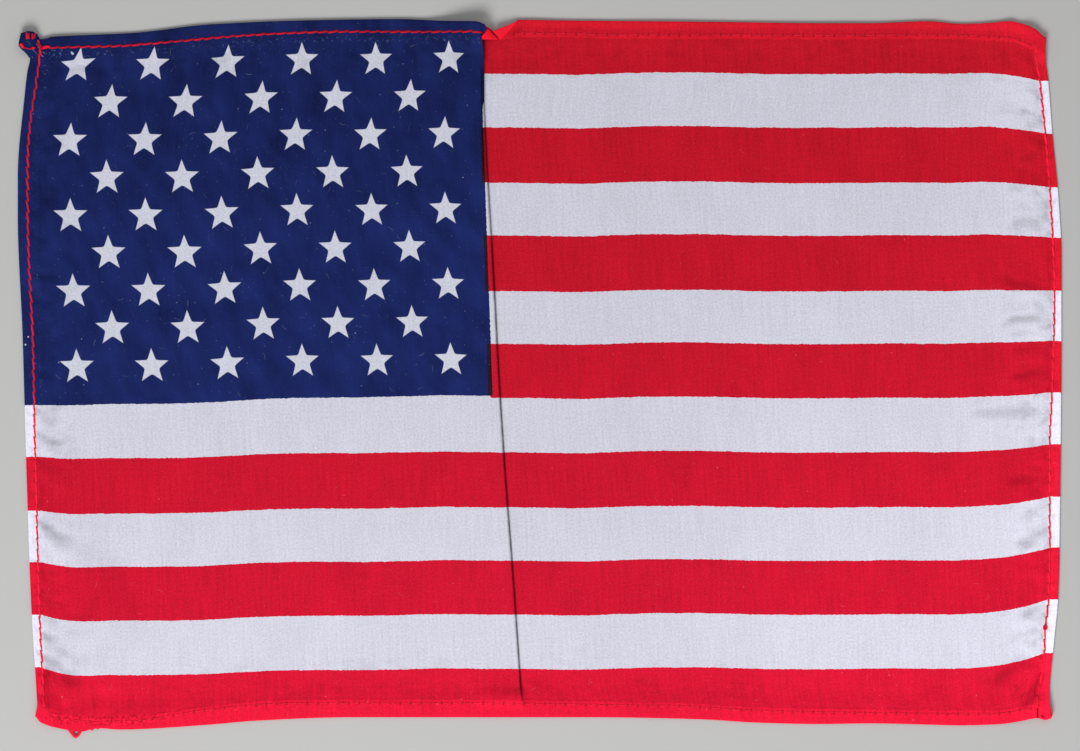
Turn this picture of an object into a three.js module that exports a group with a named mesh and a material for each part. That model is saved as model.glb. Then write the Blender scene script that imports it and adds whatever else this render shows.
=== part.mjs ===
import * as THREE from "three";

// A small printed hand flag, hemmed on all four sides and laid out face up. One narrow tuck is pressed into
// it beside the canton: deepest at the top edge, it runs out at the bottom hem.
// Millimetres, +Z up. X runs along the fly, Y up the hoist, and the cloth lies on Z = 0.

// The cloth and its plies
const SHEET = 1.0; // thickness of one ply
const PLY_GAP = 0.3; // between the plies of the tuck
const EDGE_ROUND = 0.5; // half-round edge where the cloth turns under

// The hem, a band that stands above the single cloth and is drawn down along its sewing
const HEM_WIDTH = 2.4;
const HEM_RISE = 0.4;
const SEWING_INSET = 1.6;
const SEWING_DEPTH = 0.25;

// The print: thirteen stripes, and a canton over the upper seven beside the hoist
const STRIPE = 7.95;
const TOP_LINE = 44.5; // where the top stripe ends, at mid-fly
const LINES = 12;
const CANTON_LINES = 7; // the canton reaches down to this line
const RED = new THREE.Color(0xc8192c);
const WHITE = new THREE.Color(0xcdcedb);
const BLUE = new THREE.Color(0x1d295d);

// The tuck
const TUCK_DEPTH = 1.2; // how far the hidden crease lies behind the visible one, at the top edge
const TUCK_LEAST = 0.3; // the ply between the creases where the tuck is opening out
const TUCK_TOP = 52; // the top edge over it
const TUCK_OPENS = -27; // below this height the tuck opens out
const TUCK_ENDS = -50.5; // and here it is flat
const TUCK_FLATTEST = 0.12; // turn of the cloth at that end, in radians
const TUCK_SPREAD = 0.6; // how fast its creases widen as they open
const TUCK_RAMP = 16; // width over which the cloth climbs onto its own fold
const TUCK_CLEAR = 2.5; // beside the tuck the hem lies flat
const TUCK_STEPS = 5; // faces round each crease

// The sewn edges are shorter than the cloth they hold, so the print lines close up towards them
const SAG_DEPTH = 1.03;
const SAG_FROM = -63.1;
const SAG_TO = -30.8;
const FLY_GATHER = { from: 63.1, to: 74.9, level: 10.3, share: 0.048 };
const HOIST_GATHER = { from: -66.8, to: -73.1, level: -3.7, share: 0.031 };

// The outline, as [place along the edge, position of the edge]. The top edge has the notch over the tuck,
// and the upper hoist corner stands out as a knot of folded hem.
const topEdge = through([
  [-76.2, 50.1], [-75, 50.4], [-73.9, 50.2], [-73.1, 49.7], [-69.9, 49.7], [-59.3, 50.2],
  [-48.7, 51.4], [-34.6, 52], [-20.6, 52.2], [-13.5, 51.9], [-9.3, 51.9], [-7.8, 51.1],
  [-6.9, 50.5], [-5.9, 50.8], [-4.4, 51.4], [-3.2, 52.1], [4.1, 52], [25.3, 51.8],
  [42.9, 51.7], [57, 52.1], [64, 51.5], [69, 52], [70.8, 51.5], [72.5, 50.8], [74.3, 49.5],
]);
const bottomEdge = through([
  [-74, -50.1], [-73.3, -50.9], [-70.6, -51.8], [-67.4, -52.3], [-64.9, -51.8], [-61.7, -52],
  [-48.7, -51.3], [-41.7, -50.7], [-27.6, -50.2], [7.6, -50.3], [28.8, -50.9], [35.8, -51.2],
  [61.7, -51.5], [67.5, -51.4], [70.5, -50.9], [73.4, -50.4], [74.3, -50.8], [75, -50.7],
]);
const hoistEdge = through([
  [-50.1, -74], [-48.6, -73.7], [-45.7, -73.9], [-32.4, -74.7], [-11.9, -75.4], [5.7, -75.9],
  [23.3, -76.6], [29.2, -76.6], [41, -75.6], [46.5, -74.7], [47.4, -75.8], [48.6, -76.6], [50.1, -76.2],
]);
const flyEdge = through([
  [-50.7, 75], [-49.8, 75.1], [-47.7, 74.7], [-38.3, 75.4], [-26.6, 76.2], [8.7, 76.5],
  [17.5, 76.5], [35.1, 75.2], [42.9, 74.6], [47.6, 74.1], [49.5, 74.2],
]);
const creaseLine = through([
  [-50.5, -2.4], [-43, -3], [-27.2, -4.1], [-11.3, -5.3], [4.4, -6.2], [20.6, -7.2], [36.3, -7.9], [49.5, -8.2],
]);

// A smooth curve through points [at, value] that never passes beyond them, read at any place.
function through(points) {
  const secants = points.slice(1).map((p, i) => (p[1] - points[i][1]) / (p[0] - points[i][0]));
  const slopes = points.map((_, i) => {
    const before = secants[i - 1] ?? 0;
    const after = secants[i] ?? 0;
    return before * after > 0 ? (2 * before * after) / (before + after) : 0;
  });
  return (at) => {
    const place = THREE.MathUtils.clamp(at, points[0][0], points.at(-1)[0]);
    const i = Math.min(points.filter((p) => p[0] <= place).length, points.length - 1) - 1;
    const span = points[i + 1][0] - points[i][0];
    const t = (place - points[i][0]) / span;
    const rise = points[i + 1][1] - points[i][1];
    return points[i][1] + rise * t * t * (3 - 2 * t)
      + span * t * (1 - t) * (slopes[i] * (1 - t) - slopes[i + 1] * t);
  };
}

// 0 at one place, 1 at another and smooth between, whichever of them is the lower.
function eased(at, zero, one) {
  return THREE.MathUtils.smoothstep((at - zero) / (one - zero), 0, 1);
}

// The height of a printed line at x, where height is its level at mid-fly.
function printedLine(height, x) {
  const sag = SAG_DEPTH * eased(x, SAG_TO, SAG_FROM);
  const fly = gathered(FLY_GATHER, height, x);
  const hoist = gathered(HOIST_GATHER, Math.min(height, HOIST_GATHER.level), x);
  return height - sag - fly - hoist;
}

function gathered(hem, height, x) {
  const near = THREE.MathUtils.clamp((x - hem.from) / (hem.to - hem.from), 0, 1);
  return near * near * hem.share * (height - hem.level);
}

// How the cloth lifts off the surface: soft puckers beside the sewn ends, and two low swells across the fly.
const PUCKER = { height: 0.55, pitch: 8.6, reach: 11, full: 2, hoistLean: -0.5, flyLean: 0.35 };
const SWELLS = [{ x: 3, width: 9, height: 0.3 }, { x: 40, width: 11, height: 0.35 }];

function lift(x, y) {
  const fromHoist = x - hoistEdge(y) - HEM_WIDTH;
  const fromFly = flyEdge(y) - x - HEM_WIDTH;
  const puckers = pucker(fromHoist, y, PUCKER.hoistLean) + pucker(fromFly, y, PUCKER.flyLean);
  const swells = SWELLS.map((swell) => swell.height * eased(Math.abs(x - swell.x), swell.width, 0));
  return swells.reduce((sum, height) => sum + height, puckers);
}

function pucker(distance, y, lean) {
  const ridge = Math.max(0, Math.sin((2 * Math.PI * (y + lean * distance)) / PUCKER.pitch));
  return PUCKER.height * ridge * eased(distance, 0, PUCKER.full) * eased(distance, PUCKER.reach, PUCKER.full);
}

// The section of the tuck at one height, from the ply that lies on top to the one that lies lowest:
// places x along the cloth's middle line, with its height z and the way its upper face points.
function tuckSection(y) {
  const turn = Math.max(TUCK_FLATTEST, Math.PI * eased(y, TUCK_ENDS, TUCK_OPENS));
  const radius = ((SHEET + PLY_GAP) / 2) * (Math.PI / turn) ** TUCK_SPREAD;
  const share = THREE.MathUtils.clamp((y - TUCK_OPENS) / (TUCK_TOP - TUCK_OPENS), 0, 1);
  const hidden = Math.max(TUCK_LEAST, TUCK_DEPTH * share);
  const reach = Math.sin(Math.min(turn, Math.PI / 2));
  const x0 = creaseLine(y) - (radius + SHEET / 2) * reach;
  const drop = 2 * radius * (1 - Math.cos(turn)) + hidden * Math.sin(turn);
  const z0 = SHEET / 2 + drop;
  const points = [];
  for (let k = 0; k <= TUCK_STEPS; k++) {
    const angle = (turn * k) / TUCK_STEPS;
    points.push({ x: x0 + radius * Math.sin(angle), z: z0 - radius * (1 - Math.cos(angle)), angle });
  }
  const last = points.at(-1);
  const x1 = last.x + hidden * Math.cos(turn);
  const z1 = last.z - hidden * Math.sin(turn);
  for (let k = TUCK_STEPS; k >= 0; k--) {
    const angle = (turn * k) / TUCK_STEPS;
    points.push({
      x: x1 + radius * (Math.sin(turn) - Math.sin(angle)),
      z: z1 - radius * (Math.cos(angle) - Math.cos(turn)),
      angle,
    });
  }
  return { points, drop, start: x0, end: points.at(-1).x };
}

// Stations across the cloth: each says where it is at a given place along the other direction, and how far
// in from a sewn edge it lies. Those of a panel are places on its nominal width, closer where it bends.
const HEM_STATIONS = [0, 0.15, EDGE_ROUND, 1.1, SEWING_INSET, 2.1, HEM_WIDTH, 3.2];
const INNER = HEM_STATIONS.at(-1);
const HOIST_PANEL = { width: 63, places: [1.3, 4, 7, 11, 17, 24, 31, 38, 44, 49, 53, 57] };
const FLY_PANEL = { width: 75, places: [2, 4, 7, 12, 18, 25, 32, 39, 46, 52, 58, 63, 67, 70] };
const LINE_STEPS = 3; // rows of faces to a stripe
const CROSSING_STEPS = 6; // from a column to a row and back, until they meet

function columnStations() {
  const panel = (name, { width, places }, start, end) => places.map((place) => ({
    panel: name,
    edge: Infinity,
    x: (y) => THREE.MathUtils.lerp(start(y), end(y), place / width),
  }));
  const tuck = Array.from({ length: 2 * (TUCK_STEPS + 1) }, (_, k) => ({
    panel: "tuck",
    edge: Infinity,
    x: (y) => tuckSection(y).points[k].x,
    point: (y) => tuckSection(y).points[k],
  }));
  return [
    ...HEM_STATIONS.map((d) => ({ panel: "hoist", edge: d, x: (y) => hoistEdge(y) + d })),
    ...panel("hoist", HOIST_PANEL, (y) => hoistEdge(y) + INNER, (y) => tuckSection(y).start),
    ...tuck,
    ...panel("fly", FLY_PANEL, (y) => tuckSection(y).end, (y) => flyEdge(y) - INNER),
    ...HEM_STATIONS.toReversed().map((d) => ({ panel: "fly", edge: d, x: (y) => flyEdge(y) - d })),
  ];
}

function rowStations() {
  const lowest = TOP_LINE - STRIPE * (LINES - 1);
  const printed = [];
  for (let k = 0; k <= (LINES - 1) * LINE_STEPS; k++) {
    const height = lowest + (STRIPE * k) / LINE_STEPS;
    printed.push({ edge: Infinity, stripe: Math.floor(k / LINE_STEPS) + 1, y: (x) => printedLine(height, x) });
  }
  return [
    ...HEM_STATIONS.map((d) => ({ edge: d, stripe: 0, y: (x) => bottomEdge(x) + d })),
    { edge: Infinity, stripe: 0, y: (x) => (bottomEdge(x) + INNER + printedLine(lowest, x)) / 2 },
    ...printed,
    { edge: Infinity, stripe: LINES, y: (x) => (topEdge(x) - INNER + printedLine(TOP_LINE, x)) / 2 },
    ...HEM_STATIONS.toReversed().map((d) => ({ edge: d, stripe: LINES, y: (x) => topEdge(x) - d })),
  ];
}

// Where a column and a row cross, found by stepping from one to the other.
function crossing(column, row) {
  let y = 0;
  let x = column.x(y);
  for (let step = 0; step < CROSSING_STEPS; step++) {
    y = row.y(x);
    x = column.x(y);
  }
  return { x, y };
}

// The share of full thickness at a distance in from a rounded edge.
function rounded(distance) {
  const left = Math.max(0, 1 - distance / EDGE_ROUND);
  return Math.sqrt(1 - left * left);
}

// The extra height of the hem at a distance in from its edge, lower along the sewing.
function hemRise(distance) {
  const band = HEM_RISE * eased(distance, INNER, HEM_WIDTH);
  return band - SEWING_DEPTH * eased(Math.abs(distance - SEWING_INSET), EDGE_ROUND, 0);
}

// The upper and lower points of the cloth where a column and a row cross.
function clothAt(column, row) {
  const { x, y } = crossing(column, row);
  const share = Math.min(rounded(column.edge), rounded(row.edge));
  const below = (share * SHEET) / 2;
  if (column.panel === "tuck") {
    const { z, angle } = column.point(y);
    const normal = new THREE.Vector3(Math.sin(angle), 0, Math.cos(angle));
    const middle = new THREE.Vector3(x, y, z);
    return [middle.clone().addScaledVector(normal, below), middle.clone().addScaledVector(normal, -below)];
  }
  const { start, end, drop } = tuckSection(y);
  const fromTuck = column.panel === "hoist" ? start - x : x - end;
  const climb = column.panel === "hoist" ? drop * eased(fromTuck, TUCK_RAMP, 0) : 0;
  const clear = eased(fromTuck, 0, TUCK_CLEAR);
  const middle = SHEET / 2 + climb + lift(x, y) * eased(fromTuck, TUCK_CLEAR, 2 * TUCK_CLEAR);
  const above = share * (SHEET / 2 + clear * Math.max(hemRise(column.edge), hemRise(row.edge)));
  return [new THREE.Vector3(x, y, middle + above), new THREE.Vector3(x, y, middle - below)];
}

// The colour of the print on one face of the grid.
function printColour(column, row) {
  if (column.panel === "hoist" && row.stripe > LINES - CANTON_LINES) return BLUE;
  return row.stripe % 2 === 0 ? RED : WHITE;
}

function clothGeometry() {
  const columns = columnStations();
  const rows = rowStations();
  const grid = columns.map((column) => rows.map((row) => clothAt(column, row)));
  const positions = [];
  const colours = [];
  const face = (points, colour) => points.forEach((p) => {
    positions.push(p.x, p.y, p.z);
    colours.push(colour.r, colour.g, colour.b);
  });
  for (let i = 0; i < columns.length - 1; i++) {
    for (let j = 0; j < rows.length - 1; j++) {
      const corners = [[i, j], [i + 1, j], [i + 1, j + 1], [i, j + 1]];
      // The diagonal points at the nearest corner of the flag, so that a corner face keeps its thickness.
      if (i < columns.length / 2 !== j < rows.length / 2) corners.push(corners.shift());
      const colour = printColour(columns[i], rows[j]);
      const [upper, lower] = [0, 1].map((side) => corners.map(([a, b]) => grid[a][b][side]));
      face([upper[0], upper[1], upper[2]], colour);
      face([upper[0], upper[2], upper[3]], colour);
      face([lower[0], lower[2], lower[1]], colour);
      face([lower[0], lower[3], lower[2]], colour);
    }
  }
  const geometry = new THREE.BufferGeometry();
  geometry.setAttribute("position", new THREE.Float32BufferAttribute(positions, 3));
  geometry.setAttribute("color", new THREE.Float32BufferAttribute(colours, 3));
  geometry.computeVertexNormals();
  return geometry;
}

const printedSilk = new THREE.MeshStandardMaterial({ vertexColors: true, roughness: 0.7, metalness: 0 });
const cloth = new THREE.Mesh(clothGeometry(), printedSilk);
cloth.name = "flag_cloth";

const flag = new THREE.Group();
flag.add(cloth);

export default flag;
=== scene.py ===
import math
from collections import namedtuple
from functools import partial

import bpy
import numpy as np
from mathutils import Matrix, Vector
from mathutils.bvhtree import BVHTree


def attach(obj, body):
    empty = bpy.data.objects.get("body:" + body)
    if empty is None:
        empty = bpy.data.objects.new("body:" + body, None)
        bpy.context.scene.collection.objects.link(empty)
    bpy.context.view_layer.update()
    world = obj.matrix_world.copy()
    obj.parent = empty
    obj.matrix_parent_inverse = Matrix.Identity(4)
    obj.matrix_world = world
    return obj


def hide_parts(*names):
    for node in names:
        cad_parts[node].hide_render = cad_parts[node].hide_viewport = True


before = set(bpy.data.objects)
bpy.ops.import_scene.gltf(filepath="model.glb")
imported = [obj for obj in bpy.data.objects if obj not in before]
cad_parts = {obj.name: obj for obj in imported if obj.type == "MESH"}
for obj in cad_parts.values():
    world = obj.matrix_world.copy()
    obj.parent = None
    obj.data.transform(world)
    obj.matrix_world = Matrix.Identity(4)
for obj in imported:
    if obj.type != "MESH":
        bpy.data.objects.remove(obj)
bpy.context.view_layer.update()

# A small printed hand flag, hemmed on all four sides with red thread and laid out face up, with one narrow
# tuck beside its canton. Sizes are in millimetres until a mesh is made of them. X runs along the fly, Y up
# the hoist.

MM = 0.001

# The photograph's frame, for the camera
PHOTO_WIDTH = 1080
PHOTO_HEIGHT = 751
FLAG_PIXELS = 1038
FLAG_LENGTH = 152.4
PIXEL = FLAG_LENGTH / FLAG_PIXELS
FLAG_MIDDLE = (540, 375)
CAMERA_HEIGHT = 0.7  # in metres
SENSOR = 36

# The cloth
THICKNESS = 0.07
PLY = 0.09  # from one ply to the next in a pressed hem
WEAVE_PITCH = 0.27
THREAD_LIFT = 0.13  # the hems stand this high on the thread under them
THREAD_EASE = 4.5  # and come down over this width
OFF_FLOOR = 0.01
LOWEST = 0.002
HEMS = {"hoist": 1.75, "fly": 1.95, "bottom": 2.3, "top": 2.3}
HEM_EASE = 2.2  # past its inner fold the cloth comes down to the surface over this width
HEM_STEPS = 6
RAW_EDGE = 0.7  # the raw edge stops this far short of the hem's inner fold

# The print
STRIPE_LINES = [44.34, 36.48, 28.34, 20.62, 12.44, 4.72, -3.24, -11.2, -19.29, -27.09, -35.03, -42.98]
CANTON_EDGE = -7.53
CANTON_FOOT = -2.9
FOOT_TILT = 0.0075
OVERPRINT = 0.64  # the red runs this far under the canton's edge at its foot
OVERPRINT_TAPER = 0.007  # and this much less for each millimetre up
CHAMFER = 0.5
STAR = {"left": -68.4, "top": 46.53, "pitch": 10.98, "row": 5.53, "shift": 5.43}
STAR_RADIUS = 2.55
STAR_TIP = 0.358  # half the angle of a point
STAR_CORE = 1.12  # the disc that rounds its inner corners
STAR_NARROWED = 1.035
STAR_SHRINKS = 0.0009  # for each millimetre towards the fly
STAR_MIDDLE = -38.0  # where the stars have their nominal size
PRINT_ROUNDS = 8

# The tuck
TUCK_PITCH = 0.3
TUCK_DEPTH = 1.2
TUCK_LEAST = 0.08
TUCK_TOP = 52
TUCK_OPENS = -44
TUCK_ENDS = -50
TUCK_FLATTEST = 0.12
TUCK_RAMP = 9
TUCK_STEPS = 8

# The sewing
UPRIGHT_STITCH = 1.65  # the stitches of the hoist and the fly
LEVEL_STITCH = 1.515  # those along the top and the bottom
THREAD = 0.33
THREAD_SIDES = 8
THREAD_TWIST = 7.0  # in radians for each millimetre
THREAD_LOBES = 0.13
THREAD_WIDE = 1.12  # the thread is pressed a little flat
THREAD_HIGH = 0.8


def through(points):
    """A smooth curve through (at, value) points that never passes beyond them."""
    at, value = np.array(points, float).T
    secant = np.diff(value) / np.diff(at)
    same = secant[:-1] * secant[1:] > 0
    total = np.where(same, secant[:-1] + secant[1:], 1)
    inner = np.where(same, 2 * secant[:-1] * secant[1:] / total, 0)
    slope = np.concatenate([[0], inner, [0]])

    def read(place):
        place = np.clip(place, at[0], at[-1])
        i = np.clip(np.searchsorted(at, place, side="right") - 1, 0, len(at) - 2)
        span = at[i + 1] - at[i]
        t = (place - at[i]) / span
        rise = value[i + 1] - value[i]
        bend = slope[i] * (1 - t) - slope[i + 1] * t
        return value[i] + rise * t * t * (3 - 2 * t) + span * t * (1 - t) * bend

    return read


def eased(place, zero, one):
    """0 at one place, 1 at another, smooth between, whichever is the lower."""
    t = np.clip((place - zero) / (one - zero), 0, 1)
    return t * t * (3 - 2 * t)


# The outline, the crease and the lines of sewing, as listed points
top_edge = through([
    (-76.2, 50.1), (-75, 50.4), (-74, 50.2), (-73.3, 49.2), (-72.6, 49.3), (-71.6, 49.6), (-69.9, 49.7),
    (-59.3, 50.2), (-48.7, 51.4), (-34.6, 52), (-20.6, 52.2), (-13.5, 51.9), (-9.3, 51.8), (-7.8, 51.1),
    (-6.9, 50.5), (-5.9, 50.7), (-4.4, 51.2), (-3.2, 52.1), (4.1, 52), (25.3, 51.8), (42.9, 51.6),
    (48.5, 51.6), (57, 51.9), (61.7, 51.5), (65.3, 51.6), (69, 51.9), (70.8, 51.5), (72.5, 50.8),
    (74.3, 49.5),
])
bottom_edge = through([
    (-74, -50.1), (-73.3, -50.9), (-70.6, -51.8), (-67.4, -52.3), (-64.9, -51.8), (-61.7, -52),
    (-48.7, -51.3), (-41.7, -50.7), (-27.6, -50.2), (7.6, -50.2), (23.5, -50.5), (32, -51), (41, -51.2),
    (48.5, -51.1), (56, -51.25), (61.7, -51.4), (67.5, -51.2), (70.5, -50.75), (73.1, -50.3), (74.1, -50.6),
    (75, -50.3),
])
hoist_edge = through([
    (-50.1, -74), (-48.6, -73.7), (-45.7, -73.9), (-32.4, -74.7), (-11.9, -75.4), (5.7, -75.9),
    (23.3, -76.6), (29.2, -76.6), (41, -75.6), (44.5, -75.2), (46.4, -74.8), (47.2, -75.4), (48.4, -76.4),
    (50.1, -76.1),
])
fly_edge = through([
    (-50.7, 74.9), (-49.8, 75), (-47.7, 74.7), (-38.3, 75.5), (-33, 76), (-26.6, 76.2), (8.7, 76.5),
    (17.5, 76.5), (25.7, 76.1), (35.1, 75.2), (42.9, 74.6), (47.6, 74.1), (49.5, 74.2),
])
crease_line = through([
    (-50.5, -2.4), (-45.5, -2.8), (-38.9, -3.25), (-25.7, -4.2), (-16.9, -4.9), (-8.1, -5.5), (0.7, -6.05),
    (9.5, -6.5), (18.4, -7), (27.2, -7.55), (33.5, -7.9), (39.8, -8.16), (45.4, -8.2), (48.5, -8.4),
    (50, -8.6),
])
hoist_seam = through([
    (-50.1, -72.4), (-47.7, -72.8), (-41.7, -73.1), (-33, -73.5), (-25.4, -73.7), (-10.3, -74.1),
    (4.6, -74.4), (19.7, -75.1), (26.7, -75.2), (32.3, -75.15), (37.4, -74.75), (41.1, -74.2),
    (44.5, -73.7), (48.5, -73.2),
])
fly_seam = through([
    (-49.9, 72.8), (-41.1, 74), (-37.6, 74.1), (-33, 74.6), (-25.4, 74.8), (-10.3, 74.8), (-3.2, 75.1),
    (5.3, 75.4), (12, 75.5), (20.7, 75.2), (27.5, 74.8), (35.8, 74.1), (42.7, 73.4), (48, 72.7),
])
top_seam = through([
    (-72.7, 48), (-69.2, 48.1), (-61.7, 48.3), (-57.6, 48.6), (-50.9, 49.2), (-43.9, 49.8), (-36.3, 50.2),
    (-28.8, 50.4), (-9.5, 50.3), (-8, 49.9), (-5, 49.9), (-2.4, 50.2), (4, 50.1), (14, 49.95), (28, 49.95),
    (44, 49.85), (54, 49.95), (62, 49.9), (66, 49.7), (70, 49.3), (72.7, 48.2),
])
bottom_seam = through([
    (-72.2, -50.2), (-69, -50.5), (-65, -50.9), (-61, -50.8), (-58, -50.6), (-55, -50.1), (-50, -49.3),
    (-44, -48.6), (-38, -48.2), (-30, -48.1), (-14, -48.1), (3, -48.3), (14.7, -48.5), (22, -48.6),
    (25.7, -48.9), (31.6, -49.2), (38, -49.4), (50, -49.6), (60, -49.7), (66.5, -49.7), (69.3, -49.4),
    (70.6, -49.1), (72.8, -48.8),
])


# Where the print lies: the sewn edges are shorter than the cloth they hold, so its lines close up near them
sag = through([
    (-76, 1.03), (-69, 1.12), (-63, 0.98), (-58, 1), (-52, 0.93), (-49, 0.85), (-44, 0.57), (-38, 0.32),
    (-32, 0.265), (-26, 0.265), (-20.5, 0.16), (-14.5, 0.045), (-9.5, 0.13), (-4.4, 0.14), (0, 0.19),
    (5.9, 0.28), (11.7, 0.07), (17.6, -0.06), (23.5, -0.07), (29.4, 0.075), (35.2, 0.18), (41.1, 0.19),
    (47, 0.145), (52.9, 0.075), (57.3, 0.12), (60.2, 0.135), (63.1, 0.04), (65.3, -0.045), (69, -0.03),
    (76, -0.035),
])


def near(x, start, end):
    return np.clip((x - start) / (end - start), 0, 1) ** 2


def printed_height(x, y):
    """The level of the print that shows at a place."""
    at_corner = -0.09 * (x + 67) * eased(x, -60.5, -64.5) * eased(y, 43.5, 46.5)
    at_foot = 0.06 * eased(x, -10, -20) * eased(y, -12, -18)
    level = y + sag(x)
    for _ in range(PRINT_ROUNDS):
        fly = near(np.minimum(x, fly_seam(y)), 63.1, 74.9) * 0.048 * (level - 10.3)
        hoist = near(x, -66.8, -73.1) * 0.031 * (np.minimum(level, -3.7) + 3.7)
        level = y + sag(x) + fly + hoist + (at_corner + at_foot)
    return level


def printed_place(x, y):
    """The place along the fly of the print that shows left of the tuck, where the cloth is turned."""
    turn = 0.036 * (14.7 - y)
    fan = 1.57 * np.clip((y - 33) / 12.9, 0, 1) ** 1.2 * (1 - 0.0045 * (x + 40)) * eased(x, -8.2, -13)
    held = 0.62 * eased(y, 39, 41.3) * eased(x, -13, -9) + 0.3 * eased(y, 43, 45.5) * eased(x, -11, -9)
    lean = 0.27 * np.clip(y - 45.9, 0, 2.6) * eased(x, -25, -75)
    bow = 0.17 * np.exp(-(((x + 34) / 16) ** 4)) - 0.04
    drawn = 0.2 * eased(x, -46, -64) * np.exp(-(((y - 19) / 10) ** 2))
    return x - turn - fan - held - lean - bow + drawn


# The relief: listed soft troughs, fine gathers at the sewing, and low swells

TROUGHS = [
    # points, width, depth
    ([(70.2, 38.9), (71.9, 38.5)], 0.5, 0.16),
    ([(70.3, 31.6), (73.9, 32.7)], 0.55, 0.24),
    ([(69.0, 22.5), (74.4, 22.6)], 0.6, 0.28),
    ([(67.2, 15.0), (70.2, 13.5), (75.0, 13.4)], 0.6, 0.26),
    ([(68.0, 7.0), (69.6, 8.3), (75.6, 9.0)], 0.45, 0.36),
    ([(69.3, -0.1), (74.6, 0.7)], 0.55, 0.30),
    ([(69.6, 3.7), (74.9, 4.3)], 0.5, 0.16),
    ([(63.6, -5.4), (69.7, -5.1), (74.3, -5.7)], 0.6, 0.26),
    ([(68.2, -15.4), (72.4, -15.1), (74.5, -13.8)], 0.6, 0.28),
    ([(71.1, -20.1), (74.4, -19.1)], 0.5, 0.22),
    ([(69.9, -24.6), (72.5, -23.8), (74.4, -21.7)], 0.6, 0.32),
    ([(70.5, -35.4), (74.1, -33.6)], 0.55, 0.26),
    ([(70.6, -41.4), (68.6, -43.6), (67.0, -46.2)], 0.8, 0.24),
    ([(73.6, -43.3), (72.2, -46.7), (69.7, -49.1)], 0.6, 0.26),
    ([(68.0, 48.4), (68.5, 44.6)], 0.6, 0.18),
    ([(71.8, 48.0), (72.1, 45.0)], 0.5, 0.18),
    ([(-74.0, 25.3), (-70.6, 25.8)], 0.6, 0.26),
    ([(-74.3, 14.7), (-69.2, 14.4)], 0.6, 0.28),
    ([(-74.3, 12.4), (-72.0, 12.9)], 0.45, 0.18),
    ([(-73.6, 0.6), (-70.8, -0.5)], 0.6, 0.22),
    ([(-73.6, -5.2), (-70.6, -6.9)], 0.5, 0.18),
    ([(-73.8, -7.9), (-69.9, -10.8)], 0.34, 0.20),
    ([(-73.5, -20.8), (-70.5, -23.5), (-67.3, -25.2)], 0.6, 0.30),
    ([(-69.0, -24.3), (-62.8, -28.0), (-60.2, -33.0), (-58.9, -41.1)], 1.7, 0.10),
    ([(-73.0, -37.4), (-70.9, -39.3)], 0.5, 0.24),
    ([(-73.3, -40.2), (-70.5, -43.0), (-66.5, -46.3)], 0.7, 0.30),
    ([(-73.3, -42.4), (-72.5, -45.9), (-71.6, -49.3)], 0.35, 0.24),
    ([(-72.6, -41.9), (-71.3, -46.5), (-70.3, -49.2)], 0.35, 0.22),
    ([(-72.0, -42.3), (-70.6, -45.4), (-69.2, -48.7)], 0.4, 0.20),
    ([(-73.4, -28.6), (-72.0, -30.9)], 0.35, 0.16),
    ([(-73.5, -31.6), (-72.2, -34.0)], 0.35, 0.16),
]
RIDGES = [
    # points, width, height
    ([(-72.6, -43.4), (-70.8, -46.5), (-68.2, -48.9)], 0.7, 0.30),
    ([(-66.6, -41.0), (-63.2, -47.0)], 2.2, 0.16),
    ([(68.6, 5.4), (72.8, 5.9)], 0.8, 0.14),
    ([(68.4, 26.0), (73.4, 27.6)], 0.9, 0.16),
    ([(69.4, -19.6), (73.6, -17.2)], 0.8, 0.14),
    ([(-73.6, 18.8), (-69.0, 20.4)], 1.2, 0.16),
    ([(-73.3, -13.4), (-69.4, -17.2)], 1.0, 0.14),
    ([(-73.4, -9.4), (-70.4, -12.4)], 0.8, 0.20),
    ([(-73.0, -23.2), (-69.6, -27.0)], 1.0, 0.18),
    ([(-72.6, -39.3), (-69.8, -41.7)], 0.7, 0.14),
]
CREASES = [
    # points, width, and how much darker as painted shade; below 0, lighter as a painted highlight
    ([(-72.9, -43.1), (-72.4, -44.9), (-71.9, -46.6), (-71.6, -48.4)], 0.30, 0.22),
    ([(-71.8, -43.4), (-70.2, -46.2), (-69.0, -48.8)], 0.75, -0.30),
    ([(-69.9, -43.9), (-68.4, -46.4)], 0.7, 0.10),
    ([(-2.5, 51.9), (-3.4, 50.6), (-4.6, 49.4)], 0.45, 0.30),
    ([(72.9, -45.0), (71.3, -46.9)], 0.30, 0.12),
    ([(73.0, -46.5), (70.8, -48.5)], 0.30, 0.13),
    ([(72.4, -47.6), (70.2, -49.0)], 0.25, 0.14),
    ([(69.4, -42.8), (67.4, -44.5), (66.6, -46.2)], 0.75, 0.14),
    ([(74.3, -41.0), (74.5, -44.4)], 0.22, -0.25),
    ([(-73.5, 8.6), (-72.4, 8.2)], 0.35, 0.14),
]
SWELLS = [
    # middle, half-width, top, foot, height
    (62.0, 1.9, 49, 20, -0.10),
    (57.0, 1.8, 44, 28, 0.07),
    (1.9, 1.8, 47, 16, -0.09),
    (5.0, 1.6, 47, 22, 0.05),
    (19.4, 0.9, 50, 26, -0.07),
    (28.8, 1.0, 50, 40, -0.06),
    (-41.0, 3.0, 40, -5, 0.06),
    (-58.0, 2.6, 46, 14, -0.08),
]
KNOB = {"middle": (-75.1, 48.7), "half": (1.7, 1.8), "height": 0.75}  # the drawn-up upper hoist corner
LATTICE = 97
LATTICE_START = (970.3, 970.7)


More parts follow.
